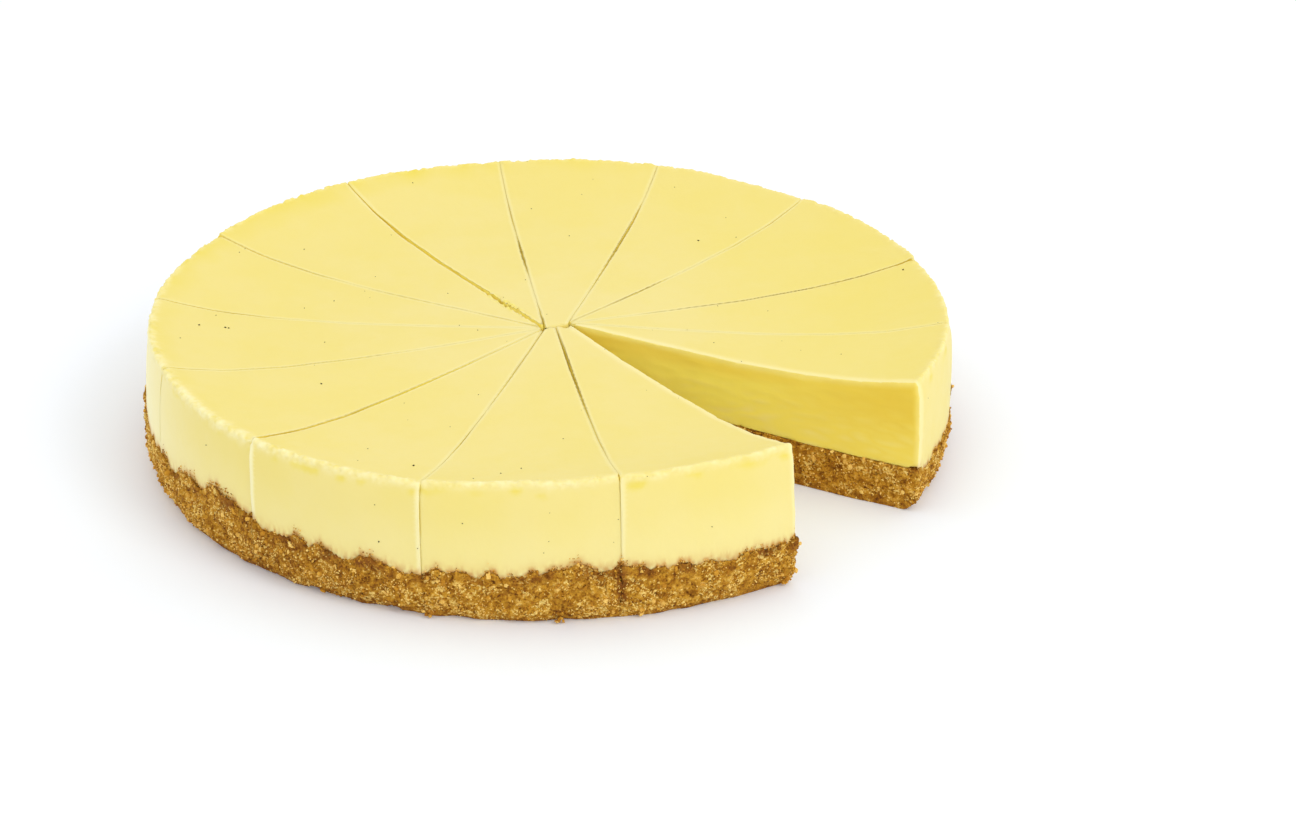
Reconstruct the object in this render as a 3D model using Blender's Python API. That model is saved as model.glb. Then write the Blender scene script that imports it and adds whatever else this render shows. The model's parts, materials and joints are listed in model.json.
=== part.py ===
"""A baked cheesecake on a crumb base, cut into slices, with a gap one slice wide.

Metres, +Z up. The origin is the middle of the round cake, on the surface that it
stands on. The cake's front is towards -Y. Each slice is two solids, its crumb base
and its cheese filling, and every slice lies where it was cut.
"""

import math

import bmesh
import bpy
from mathutils import Vector, noise

MM = 0.001

# The round cake: radii of its wall from the foot up, and heights on the wall
FOOT_RADIUS = 122.2 * MM
SEAM_RADIUS = 125.7 * MM
RIM_RADIUS = 124.2 * MM
WALL_BELLY = 0.4 * MM
SEAM_HEIGHT = 16.1 * MM
RIM_HEIGHT = 44.1 * MM
RIM_ROUNDING = 1.0 * MM
ROUNDING_POWER = 24

# The sunken top: how far it lies below the rim, and the low crown at its middle
DISH_DEPTH = 7.4 * MM
DISH_POWER = 5.6
CROWN_HEIGHT = 0.9 * MM
CROWN_SPREAD = 0.25
EDGE_POWER = 4

# Where the blade's cuts end: they miss one point, so the cake has a short hub line
LEFT_HUB = Vector((-0.5, -4.8)) * MM
MIDDLE_HUB = Vector((2.7, -3.6)) * MM
RIGHT_HUB = Vector((6.5, -1.0)) * MM

# Every cut, counter-clockwise from the gap's first face: its angle at the rim in degrees,
# the hub point that it starts from, and in millimetres its width, and how far the rim
# stands out and up there. The gap's two faces have no width.
CUTS = (
    (-27.1, RIGHT_HUB, 0.0, 1.2, -0.9),
    (-6.8, RIGHT_HUB, 0.4, 1.4, 0.0),
    (17.6, RIGHT_HUB, 0.4, -0.4, -0.5),
    (47.0, RIGHT_HUB, 0.5, -0.3, -0.6),
    (73.6, RIGHT_HUB, 0.6, 0.1, 0.3),
    (99.4, LEFT_HUB, 0.6, 0.1, 0.2),
    (125.3, LEFT_HUB, 1.1, 0.4, 0.8),
    (152.6, LEFT_HUB, 0.6, -0.2, -0.3),
    (177.3, LEFT_HUB, 0.4, -0.8, -0.4),
    (203.0, LEFT_HUB, 0.5, -1.2, 0.6),
    (229.5, LEFT_HUB, 1.0, 0.5, -0.8),
    (255.4, LEFT_HUB, 0.5, 0.7, -1.3),
    (281.1, MIDDLE_HUB, 0.6, -0.8, 1.6),
    (306.1, RIGHT_HUB, 0.0, -0.4, 0.6),
)

# Every slice, in the same order, in millimetres: how far its wall stands out past its
# neighbours', and how high the seam is on the wall at its first cut and at its last
SLICES = (
    (0.0, 14.0, 15.0),
    (-0.3, 15.0, 16.0),
    (0.3, 16.0, 16.6),
    (-0.2, 16.4, 16.0),
    (0.2, 16.2, 16.6),
    (-0.2, 16.4, 16.0),
    (0.3, 16.2, 16.6),
    (-0.2, 16.5, 17.0),
    (-0.4, 17.2, 16.8),
    (-0.5, 16.5, 20.0),
    (0.6, 17.5, 15.3),
    (0.0, 15.6, 18.0),
    (0.3, 16.7, 14.2),
)

# The seam is level inside and reaches its height on the wall by this power of the radius
SEAM_RISE_POWER = 2

# The base is tucked in at its foot, by this power of the way down from the seam
TUCK_POWER = 3

# Gaps left between a base and its filling, and between slices along the hub line
LAYER_GAP = 0.3 * MM
HUB_GAP = 0.4 * MM

# Relief: a wavy seam, lumps of crumb on the base's wall with smaller lumps on them at a
# share of their height, a rippled top, and torn faces in the gap
SEAM_WAVE = 0.9 * MM
SEAM_WAVELENGTH = 14 * MM
CRAG_DEPTH = 1.3 * MM
CRAG_SIZE = 7 * MM
SMALL_CRAGS = 0.7
TOP_RIPPLE = 0.25 * MM
TOP_RIPPLE_SIZE = 30 * MM
CRUMB_TEAR = 1.0 * MM
FILLING_TEAR = 0.4 * MM
TEAR_SIZE = 9 * MM
SEAM_FADE = 4

# Seeds of the relief's noise
SEAM_SEED = 3.1
CRAG_SEED = 7.7
SMALL_CRAG_SEED = 2.9
TOP_SEED = 5.3
TEAR_SEED = 9.1

# Faces of one slice: across it, and from tip to rim, where they crowd together
COLUMNS = 14
ROWS = 6
ROW_CROWDING = 1.7
TIP_MERGE = 0.05 * MM
SHARP_EDGE = math.radians(40)

FILLING_COLOUR = (0.93, 0.80, 0.32)
FILLING_ROUGHNESS = 0.42
CRUMB_COLOUR = (0.44, 0.21, 0.035)
CRUMB_ROUGHNESS = 0.85


def clear_scene():
    for item in list(bpy.data.objects):
        bpy.data.objects.remove(item)


def food_material(name, colour, roughness):
    material = bpy.data.materials.new(name)
    material.use_nodes = True
    shader = material.node_tree.nodes["Principled BSDF"]
    shader.inputs["Base Color"].default_value = (*colour, 1.0)
    shader.inputs["Roughness"].default_value = roughness
    shader.inputs["Metallic"].default_value = 0.0
    material.diffuse_color = (*colour, 1.0)
    return material


def mix(start, end, share):
    return start + (end - start) * share


def crowd(share, power):
    """Moves even steps from 0 to 1 together towards 1."""
    return 1 - (1 - share) ** power


def ripple(point, size, seed):
    """Smooth seeded noise from -1 to 1, with swells about `size` apart."""
    return noise.noise(Vector(point) / size + Vector((seed, 2 * seed, 3 * seed)))


def left_of(direction):
    return Vector((-direction.y, direction.x))


def meet(point, direction, other_point, other_direction):
    """The point where two lines cross."""
    across = left_of(other_direction)
    travel = (other_point - point).dot(across) / direction.dot(across)
    return point + direction * travel


def on_circle(point, direction, radius):
    """The point where a line outwards meets the circle of that radius about the axis."""
    along = point.dot(direction)
    reach = math.sqrt(along * along - point.length_squared + radius * radius) - along
    return point + direction * reach


def dish_height(share):
    """Height of the even top at a share of the way from the axis to the rim."""
    crown = CROWN_HEIGHT * math.exp(-((share / CROWN_SPREAD) ** 2))
    return RIM_HEIGHT - DISH_DEPTH * (1 - share**DISH_POWER) + crown


class Cut:
    """One straight cut from the hub to the rim."""

    def __init__(self, degrees, hub, width, rim_out, rim_up):
        self.hub = hub
        self.half_width = width * MM / 2
        self.rim_out = rim_out * MM
        self.rim_up = rim_up * MM
        angle = math.radians(degrees)
        rim = Vector((math.cos(angle), math.sin(angle))) * (RIM_RADIUS + self.rim_out)
        self.direction = (rim - hub).normalized()

    def face(self, side):
        """A point on the cut's face, on its left (1) or its right (-1)."""
        return self.hub + left_of(self.direction) * self.half_width * side

    def borders_gap(self):
        return self.half_width == 0


class Slice:
    """The space between two neighbouring cuts."""

    def __init__(self, first, last, step, first_seam, last_seam):
        self.first = first
        self.last = last
        self.step = step * MM
        self.first_seam = first_seam * MM
        self.last_seam = last_seam * MM
        self.first_tip, self.last_tip = self.tips()

    def tips(self):
        """The inner corners: one point, or the two ends of a blunt tip on the hub line."""
        first_face = self.first.face(1)
        last_face = self.last.face(-1)
        if self.first.hub == self.last.hub:
            tip = meet(first_face, self.first.direction, last_face, self.last.direction)
            return tip, tip
        hub_line = (self.last.hub - self.first.hub).normalized()
        hub_point = self.first.hub - left_of(hub_line) * HUB_GAP / 2
        first_tip = meet(first_face, self.first.direction, hub_point, hub_line)
        last_tip = meet(last_face, self.last.direction, hub_point, hub_line)
        return first_tip, last_tip

    def wall_point(self, across, radius):
        """A point on the wall at that radius, a share of the way across the slice."""
        first = on_circle(self.first_tip, self.first.direction, radius)
        last = on_circle(self.last_tip, self.last.direction, radius)
        if across == 0:
            return first
        if across == 1:
            return last
        start = math.atan2(first.y, first.x)
        turn = (math.atan2(last.y, last.x) - start) % math.tau
        angle = start + turn * across
        return Vector((math.cos(angle), math.sin(angle))) * radius

    def plan(self, across, along, radius):
        tip = mix(self.first_tip, self.last_tip, across)
        return mix(tip, self.wall_point(across, radius), along)

    def rim_out(self, across):
        return mix(self.first.rim_out, self.last.rim_out, across) + self.step

    def rim_up(self, across):
        return mix(self.first.rim_up, self.last.rim_up, across)

    def seam(self, across, plan):
        """Height of the seam between base and filling: level inside, uneven at the wall."""
        at_wall = mix(self.first_seam, self.last_seam, across)
        wave = SEAM_WAVE * ripple((plan.x, plan.y, 0.0), SEAM_WAVELENGTH, SEAM_SEED)
        share = (plan.length / SEAM_RADIUS) ** SEAM_RISE_POWER
        return mix(SEAM_HEIGHT, at_wall, share) + wave

    def torn_side(self, across):
        """The direction in which a face in the gap is torn in, or none elsewhere."""
        if across == 0 and self.first.borders_gap():
            return left_of(self.first.direction)
        if across == 1 and self.last.borders_gap():
            return -left_of(self.last.direction)
        return Vector((0.0, 0.0))


class CrumbBase:
    """The pressed crumb, tucked under at the foot, with crags on its wall."""

    name = "base"
    levels = 6
    level_crowding = 1.0
    tear_depth = CRUMB_TEAR

    def relief(self, level):
        """How much of the relief shows: none at the seam."""
        return 1 - level**SEAM_FADE

    def crag(self, place, level):
        point = (place.x, place.y, level * SEAM_HEIGHT)
        lump = ripple(point, CRAG_SIZE, CRAG_SEED)
        small_lump = ripple(point, CRAG_SIZE / 2, SMALL_CRAG_SEED)
        return CRAG_DEPTH * (lump + SMALL_CRAGS * small_lump) * self.relief(level)

    def radius(self, piece, across, level):
        tuck = (SEAM_RADIUS - FOOT_RADIUS) * (1 - level) ** TUCK_POWER
        swell = piece.rim_out(across) * level * SEAM_HEIGHT / RIM_HEIGHT
        crag = self.crag(piece.wall_point(across, SEAM_RADIUS), level)
        return SEAM_RADIUS - tuck + swell + crag

    def height(self, piece, across, plan, level):
        return mix(0.0, piece.seam(across, plan) - LAYER_GAP / 2, level)


class CheeseFilling:
    """The baked filling, with a slightly bellied wall and a sunken top."""

    name = "filling"
    levels = 5
    level_crowding = 2.0
    tear_depth = FILLING_TEAR

    def relief(self, level):
        """How much of the relief shows: none at the seam."""
        return 1 - (1 - level) ** SEAM_FADE

    def radius(self, piece, across, level):
        belly = WALL_BELLY * 4 * level * (1 - level)
        rounding = RIM_ROUNDING * level**ROUNDING_POWER
        swell = piece.rim_out(across) * mix(SEAM_HEIGHT, RIM_HEIGHT, level) / RIM_HEIGHT
        return mix(SEAM_RADIUS, RIM_RADIUS, level) + belly - rounding + swell

    def height(self, piece, across, plan, level):
        share = min(plan.length / (RIM_RADIUS - RIM_ROUNDING), 1.0)
        rise = piece.rim_up(across) * share**EDGE_POWER
        swells = TOP_RIPPLE * ripple((plan.x, plan.y, 0.0), TOP_RIPPLE_SIZE, TOP_SEED)
        floor = piece.seam(across, plan) + LAYER_GAP / 2
        return mix(floor, dish_height(share) + rise + swells, level)


def wedge_block(levels):
    """A block of faces: across in x, tip to rim in y and up in z, each from 0 to 1."""
    block = bmesh.new()
    bmesh.ops.create_grid(block, x_segments=COLUMNS, y_segments=ROWS, size=0.5)
    bmesh.ops.translate(block, vec=(0.5, 0.5, 0.0), verts=block.verts)
    bmesh.ops.triangulate(block, faces=block.faces)
    raised = bmesh.ops.extrude_face_region(block, geom=block.faces[:], use_keep_orig=True)
    top = [item for item in raised["geom"] if isinstance(item, bmesh.types.BMVert)]
    bmesh.ops.translate(block, vec=(0.0, 0.0, 1.0), verts=top)
    upright = [edge for edge in block.edges if edge.verts[0].co.z != edge.verts[1].co.z]
    bmesh.ops.subdivide_edges(block, edges=upright, cuts=levels - 1, use_grid_fill=True)
    return block


def shape_wedge(block, piece, layer):
    """Moves the block's points to their places in the slice."""
    for vert in block.verts:
        across = round(vert.co.x * COLUMNS) / COLUMNS
        along = crowd(vert.co.y, ROW_CROWDING)
        level = crowd(vert.co.z, layer.level_crowding)
        plan = piece.plan(across, along, layer.radius(piece, across, level))
        height = layer.height(piece, across, plan, level)
        if along > 0:
            torn = 1 + ripple((plan.x, plan.y, height), TEAR_SIZE, TEAR_SEED)
            depth = layer.tear_depth * layer.relief(level) * torn / 2
            plan = plan + piece.torn_side(across) * depth
        vert.co = (plan.x, plan.y, height)


def add_layer(collection, name, piece, layer, material):
    block = wedge_block(layer.levels)
    shape_wedge(block, piece, layer)
    bmesh.ops.remove_doubles(block, verts=block.verts, dist=TIP_MERGE)
    bmesh.ops.recalc_face_normals(block, faces=block.faces)
    bmesh.ops.triangulate(block, faces=block.faces)
    mesh = bpy.data.meshes.new(name)
    block.to_mesh(mesh)
    block.free()
    mesh.shade_smooth()
    mesh.set_sharp_from_angle(angle=SHARP_EDGE)
    mesh.materials.append(material)
    collection.objects.link(bpy.data.objects.new(name, mesh))


def build():
    clear_scene()
    collection = bpy.data.collections.new("cheesecake")
    bpy.context.scene.collection.children.link(collection)
    layers = (
        (CrumbBase(), food_material("crumb_base", CRUMB_COLOUR, CRUMB_ROUGHNESS)),
        (CheeseFilling(), food_material("cheese_filling", FILLING_COLOUR, FILLING_ROUGHNESS)),
    )
    cuts = [Cut(*numbers) for numbers in CUTS]
    for number, (first, last, numbers) in enumerate(zip(cuts, cuts[1:], SLICES), start=1):
        piece = Slice(first, last, *numbers)
        for layer, material in layers:
            add_layer(collection, f"slice_{number:02d}_{layer.name}", piece, layer, material)


build()
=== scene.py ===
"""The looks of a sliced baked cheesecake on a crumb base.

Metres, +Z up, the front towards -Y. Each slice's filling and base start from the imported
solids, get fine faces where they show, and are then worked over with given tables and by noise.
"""

import json
import math

import bmesh
import bpy
import numpy as np
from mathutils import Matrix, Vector, kdtree, noise

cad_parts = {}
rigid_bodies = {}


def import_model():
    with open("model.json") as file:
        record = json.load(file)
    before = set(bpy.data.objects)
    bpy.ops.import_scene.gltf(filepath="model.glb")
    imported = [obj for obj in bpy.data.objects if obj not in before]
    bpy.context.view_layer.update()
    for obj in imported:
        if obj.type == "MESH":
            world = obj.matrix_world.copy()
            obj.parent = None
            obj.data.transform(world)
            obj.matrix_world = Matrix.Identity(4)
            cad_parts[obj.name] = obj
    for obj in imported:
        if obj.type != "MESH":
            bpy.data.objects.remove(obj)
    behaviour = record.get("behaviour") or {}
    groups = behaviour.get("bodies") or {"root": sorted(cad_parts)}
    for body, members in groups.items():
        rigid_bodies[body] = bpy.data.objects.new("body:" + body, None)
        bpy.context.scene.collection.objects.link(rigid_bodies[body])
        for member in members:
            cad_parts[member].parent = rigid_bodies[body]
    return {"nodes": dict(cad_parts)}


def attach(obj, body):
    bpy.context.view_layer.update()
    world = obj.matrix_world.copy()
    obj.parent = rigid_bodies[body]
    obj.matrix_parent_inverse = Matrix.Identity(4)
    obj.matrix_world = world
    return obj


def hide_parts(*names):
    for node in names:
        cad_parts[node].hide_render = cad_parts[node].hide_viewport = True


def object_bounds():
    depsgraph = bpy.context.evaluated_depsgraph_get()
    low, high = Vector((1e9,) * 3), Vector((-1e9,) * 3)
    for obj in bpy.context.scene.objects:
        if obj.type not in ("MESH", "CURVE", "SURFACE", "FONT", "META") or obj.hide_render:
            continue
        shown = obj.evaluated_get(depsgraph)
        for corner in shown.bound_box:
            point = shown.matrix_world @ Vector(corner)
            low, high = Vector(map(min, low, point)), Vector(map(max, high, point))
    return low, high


MM = 0.001

# The regions of a slice's layer. The hub is the blunt end that some slices have
TOP, WALL, UNDERSIDE, FIRST_CUT, LAST_CUT, HUB = range(6)
REGIONS = 6
SIDES = (FIRST_CUT, LAST_CUT)

# How squarely a face has to look up or down, out, in, or to the side, to count as such
FLAT_NORMAL = 0.6
WALL_NORMAL = 0.5
HUB_NORMAL = 0.7
CUT_NORMAL = 0.8
# From this share of a slice's reach on, its points count as its wall's
WALL_SHARE = 0.95

# The longest that a face's edge may be: in each region, and at an edge that shows, from
# where it grows with the distance
FILLING_LIMITS = (2.2 * MM, 1.6 * MM, 14 * MM, 14 * MM, 14 * MM, 1.0 * MM)
FILLING_EDGE_LIMIT = 0.55 * MM
CRUMB_LIMITS = (14 * MM, 0.6 * MM, 14 * MM, 14 * MM, 14 * MM, 14 * MM)
CRUMB_EDGE_LIMIT = 0.6 * MM
GAP_LIMIT = 1.0 * MM
EDGE_GRADE = 0.65
HALVINGS = 7
# Points nearer together than this are one point
MERGE = 0.001 * MM
# How far apart the points are that stand for an edge
FEATURE_STEP = 0.5 * MM

# How far each cut stands open on the top, as a share of its width, at places from the
# middle (0) to the rim (1). The first and the last one are the gap's own faces
TOP_OPENNESS = (
    ((0.0, 0.0), (1.0, 0.0)),
    ((0.0, 0.1), (0.15, 0.02), (0.5, 0.02), (0.7, 0.15), (1.0, 0.15)),
    ((0.0, 0.05), (0.2, 0.05), (0.35, 0.6), (0.6, 0.9), (0.75, 1.2), (0.85, 0.9), (1.0, 0.35)),
    ((0.0, 0.05), (0.18, 0.5), (0.33, 0.9), (0.42, 0.15), (0.55, 0.03), (0.7, 0.2), (1.0, 0.1)),
    ((0.0, 0.1), (0.2, 0.12), (0.35, 0.4), (0.5, 1.0), (0.6, 1.2), (0.72, 0.6), (0.8, 0.05),
     (1.0, 0.08)),
    ((0.0, 1.0), (0.05, 0.4), (0.12, 0.05), (0.3, 0.1), (0.42, 0.9), (0.48, 0.9), (0.57, 0.15),
     (0.7, 0.3), (0.82, 0.05), (1.0, 0.03)),
    ((0.0, 0.8), (0.06, 1.3), (0.3, 1.3), (0.7, 1.1), (0.78, 0.45), (0.86, 0.2), (1.0, 0.05)),
    ((0.0, 0.4), (0.2, 0.2), (0.4, 0.3), (0.57, 0.08), (0.7, 0.45), (0.85, 0.35), (1.0, 0.25)),
    ((0.0, 0.1), (0.15, 0.02), (0.6, 0.05), (0.8, 0.4), (1.0, 0.2)),
    ((0.0, 0.08), (0.35, 0.1), (0.45, 0.35), (0.6, 0.45), (0.72, 0.35), (0.85, 0.1), (1.0, 0.2)),
    ((0.0, 0.1), (0.25, 0.2), (0.45, 0.4), (0.6, 0.6), (0.8, 0.5), (1.0, 0.35)),
    ((0.0, 0.3), (0.35, 0.35), (0.5, 0.08), (0.6, 0.08), (0.7, 0.25), (0.8, 0.05), (1.0, 0.03)),
    ((0.0, 0.05), (0.1, 0.5), (0.2, 1.1), (0.35, 1.1), (0.45, 0.7), (0.58, 0.3), (0.75, 0.25),
     (0.83, 0.03), (1.0, 0.05)),
    ((0.0, 0.0), (1.0, 0.0)),
)
# The same up the wall, from the seam (0) to the rim (1)
SHUT_WALL = ((0.0, 0.0), (0.75, 0.0), (1.0, 0.15))
WALL_OPENNESS = {
    6: ((0.0, 0.0), (0.6, 0.2), (1.0, 0.6)),
    10: ((0.0, 0.0), (1.0, 0.0)),
    11: ((0.0, 0.2), (0.12, 0.0), (1.0, 0.0)),
    12: ((0.0, 0.25), (0.12, 0.0), (0.65, 0.0), (0.8, 0.12), (1.0, 0.2)),
}
# How pale a cut's two corners are on the wall, before it and after it, as painted highlights; a
# share of it also sets how much the corners are rounded
PALE_CORNERS = {10: (0.1, 1.0), 11: (0.7, 0.1), 12: (0.0, 0.5)}
FAINT_CORNERS = (0.2, 0.2)

# The cut whose edges tore, with the place and spread of the tear as shares of the rim's
# reach, and the cut that has broken the base open
TORN_CUT = 6
TORN_PLACE = 0.15
TORN_SPREAD = 0.1
CRACKED_CUT = 12

# How far a closed cut's faces stay from its middle
CLOSED = 0.01 * MM

# How far the blunt ends at the hub move in, and twice as far at the hub's middle
HUB_CLOSING = 0.2 * MM
HUB_MIDDLE = (0.0028, -0.0032)
HUB_SPREAD = 3.7 * MM

# Where the crumbs climb highest up the wall, in degrees
CLIMBING_ANGLE = 219

# Vanilla specks that stand out: angle in degrees, then the distance from the middle on the
# top or the height on the wall, and the size, both in mm
TOP_SPECKS = (
    (185, 108, 0.55), (185, 99, 0.5), (184.6, 99.7, 0.5), (180, 104, 0.35), (146, 99, 0.4),
    (155, 113, 0.35), (166, 70, 0.4), (172, 78, 0.35), (215, 80, 0.55), (192, 70, 0.4),
    (147, 68, 0.3), (191, 114, 0.35), (115, 118, 0.4), (95, 93, 0.35), (86, 71, 0.35),
    (195, 22, 0.3), (144, 40, 0.3), (54, 82, 0.5), (15, 118, 0.5), (69, 113, 0.3),
    (48, 91, 0.3), (252, 112, 0.6), (265, 113, 0.4), (262, 120, 0.35), (268, 109, 0.35),
    (275, 85, 0.3), (250, 55, 0.3), (267, 5, 0.5), (160, 60, 0.25), (128, 88, 0.25),
    (235, 70, 0.25),
)
WALL_SPECKS = ((261, 32, 0.3), (250, 23, 0.4), (255, 23, 0.3), (272, 27, 0.25), (293, 26, 0.3))
STRAY_SPECKS = 50
STRAY_SIZES = (0.15, 0.3)
SPECK_SEED = 27
# Half of a speck is sunk, so it is made this much larger than it shows
SPECK_GROWTH = 1.5

# Each kind of crumb: how many, their least and their most size in mm, and their tones
# The pale crumbs are partly painted highlights of lit crumb tops
PALE_CRUMBS = (9000, (0.35, 0.85), (0.74, 1.0))
BROWN_CRUMBS = (8500, (0.4, 0.9), (0.22, 0.62))
COARSE_CRUMBS = (1100, (0.9, 2.0), (0.35, 0.85))
SEAM_CRUMBS = (9000, (0.25, 0.7), (0.2, 0.85))
CRUMB_PROPORTIONS = (1.0, 0.8, 0.6)
CRUMB_SEED = 14

# Clumps of crumb at the foot: angle in degrees, height and size in mm
FOOT_CLUMPS = ((256, 1.2, 3.4), (273, 0.9, 2.4), (305, 2.0, 4.0), (304, 4.5, 3.0), (284, 3.0, 3.0))
CLUMP_CRUMBS = 12
# How far within the rim's reach a clump lies, in mm, and then, as shares of the clump's
# size, how widely its crumbs are spread and how large they are
CLUMP_INSET = 2.3
CLUMP_SPREAD = 0.2
CLUMP_SIZES = (0.25, 0.55)

# Colours as screen values, and those of the filling's layers in the order of their layers: real
# marks, painted highlights, painted shade and painted bounce light
FILLING = (238, 221, 138)
# The deep yellow serves the mottle and, in the deep layer, partly painted shade in a band inside
# the rim
DEEP_FILLING = (235, 215, 84)
STAINS_AND_PAINTED_LIGHT = {
    "deep": DEEP_FILLING,
    # pale: a real crust at the rim and smears, and painted highlights and painted light
    "pale": (250, 240, 184),
    # cut: the fresh cut face's yellow, made brighter and deeper as painted bounce light between
    # the cut faces
    "cut": (252, 236, 108),
    # ripe: deeper yellow towards the rim, and painted bounce light in a band below the cut faces'
    # top edge
    "ripe": (234, 203, 70),
    # groove: painted shade in the open cuts
    "groove": (152, 128, 38),
    "crumbed": (214, 166, 92),
}
# Reddish brown of the base's shade layer: the crumb's own colour in patches under the seam, darker
# at the foot, and painted shade in the crevices, the crack and on the left
BAKED_AND_SHADED_CRUMB = (140, 80, 24)
CRUMB_TONES = ((102, 58, 8), (168, 110, 20), (215, 158, 46), (254, 220, 126))
SPECK_TONES = ((60, 48, 8), (26, 18, 4))

# The camera: its lens and sensor in mm, its place in metres, and how far it looks down
LENS = 83.33
SENSOR_WIDTH = 36.0
CAMERA_PLACE = (0.0315, -0.8565, 0.4188)
CAMERA_TILT = 25.74

SKY_STRENGTH = 0.99
WINDOW_POWER = 15.0
WINDOW_SIZE = 1.0
WINDOW_PLACE = (1.6, -1.4, 2.0)
FLOOR_SIZE = 8.0
FLOOR_LEVEL = -0.0001
FLOOR_COLOUR = (0.88, 0.91, 0.96, 1.0)
FLOOR_GLOW = (0.9, 0.95, 1.0, 1.0)
GLOW_STRENGTH = 0.07

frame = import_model()
cad_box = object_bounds()
RIM_REACH = cad_box[1].x
RIM_HEIGHT = cad_box[1].z
SEAM_HEIGHT = max(vert.co.z for vert in frame["nodes"]["slice_01_base"].data.vertices)
SLICES = len(frame["nodes"]) // 2


def ripple(points, size, seed):
    """Smooth seeded noise from -1 to 1 at every point, with swells about `size` apart."""
    shifted = np.asarray(points) / size + (seed, 2 * seed, 3 * seed)
    return np.array([noise.noise(point) for point in shifted.tolist()])


def lumps(points, size, seed):
    """Seeded noise with round lumps and creases between them, from -1 to 1."""
    return 1 - 2.6 * np.abs(ripple(points, size, seed))


def ramp(values, low, high):
    """0 below low, 1 above high, and an even S between them."""
    share = np.clip((values - low) / (high - low), 0.0, 1.0)
    return share * share * (3 - 2 * share)


def profile(table, shares):
    """Reads a table of places and values at any shares between its places."""
    places, values = zip(*table)
    return np.interp(shares, places, values)


def near_angle(points, angle, spread):
    """1 at an angle round the cake, down to 0 well away from it. Degrees."""
    angles = np.degrees(np.arctan2(points[:, 1], points[:, 0]))
    return np.exp(-(((((angles - angle) + 180) % 360 - 180) / spread) ** 2))


def reach_share(points):
    """How far out the points are, from 0 in the middle to 1 at the rim."""
    return np.hypot(points[:, 0], points[:, 1]) / RIM_REACH


def climb(points):
    """How far the crumbs climb the wall above the seam, at the points' angles. Where it is
    less than nothing, the filling hangs down over them."""
    ring = points[:, :2] / np.linalg.norm(points[:, :2], axis=1)[:, None] * RIM_REACH
    ring = np.column_stack([ring, np.zeros(len(ring))])
    height = -0.25 + 3.0 * ripple(ring, 8 * MM, 14.0) + 1.7 * ripple(ring, 3.6 * MM, 15.0)
    height += 0.9 * ripple(ring, 1.0 * MM, 16.0) + 2.2 * near_angle(points, CLIMBING_ANGLE, 9)
    return MM * np.clip(height, -1.4, 3.6)


def linear(colour):
    """A colour given as screen values from 0 to 255, as a shader takes it."""
    shares = [value / 255 for value in colour]
    return [s / 12.92 if s < 0.04045 else ((s + 0.055) / 1.055) ** 2.4 for s in shares]


def outward(mesh):
    """The level direction from the cake's middle to a slice's wall."""
    plan = [vert.co.xy for vert in mesh.vertices]
    reach = max(point.length for point in plan)
    rim = [point for point in plan if point.length > WALL_SHARE * reach]
    return sum(rim, Vector((0.0, 0.0))).normalized()


def make_active(piece):
    """Selects one piece alone, for the operators."""
    for item in bpy.context.view_layer.objects:
        item.select_set(False)
    piece.select_set(True)
    bpy.context.view_layer.objects.active = piece


def place(piece, slot):
    """Puts a finished piece on the cake's body; its slot is not used."""
    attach(piece, "root")


class Wire:
    """A socket of a shader tree. Arithmetic on it adds Math nodes."""

    def __init__(self, tree, socket):
        self.tree = tree
        self.socket = socket

    def node(self, kind, settings=None, sockets=None, output=0):
        """Adds any other node: its settings first, then its sockets' values or wires."""
        node = self.tree.nodes.new(kind)
        settings = dict(settings or {})
        stops = settings.pop("stops", None)
        for key, value in settings.items():
            setattr(node, key, value)
        if stops:
            while len(node.color_ramp.elements) < len(stops):
                node.color_ramp.elements.new(1.0)
            for element, (position, colour) in zip(node.color_ramp.elements, stops):
                element.position = position
                element.color = (*colour, 1.0)
        for key, value in (sockets or {}).items():
            if isinstance(value, Wire):
                self.tree.links.new(value.socket, node.inputs[key])
            else:
                node.inputs[key].default_value = value
        return Wire(self.tree, node.outputs[output])

    def maths(self, operation, *values):
        """Adds a Math node for an operation on values or wires."""
        return self.node("ShaderNodeMath", {"operation": operation}, dict(enumerate(values)))

    def __add__(self, other):
        return self.maths("ADD", self, other)

    def __sub__(self, other):
        return self.maths("SUBTRACT", self, other)

    def __rsub__(self, other):
        return self.maths("SUBTRACT", other, self)

    def __mul__(self, other):
        return self.maths("MULTIPLY", self, other)

    __radd__ = __add__
    __rmul__ = __mul__

    def between(self, low, high):
        """0 to 1 as this value goes from low to high."""
        sockets = {"Value": self, "From Min": low, "From Max": high}
        return self.node("ShaderNodeMapRange", {"interpolation_type": "SMOOTHSTEP"}, sockets)

    def noise(self, scale, detail=2.0, roughness=0.5):
        """Noise at this place, with about `scale` swells to the metre."""
        sockets = {"Vector": self, "Scale": scale, "Detail": detail, "Roughness": roughness}
        return self.node("ShaderNodeTexNoise", None, sockets)

    def tint(self, base, colour):
        """Goes from a base colour to another as this value goes from 0 to 1."""
        settings = {"data_type": "RGBA"}
        sockets = {0: self, 6: base, 7: colour}
        return self.node("ShaderNodeMix", settings, sockets, output=2)


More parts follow.
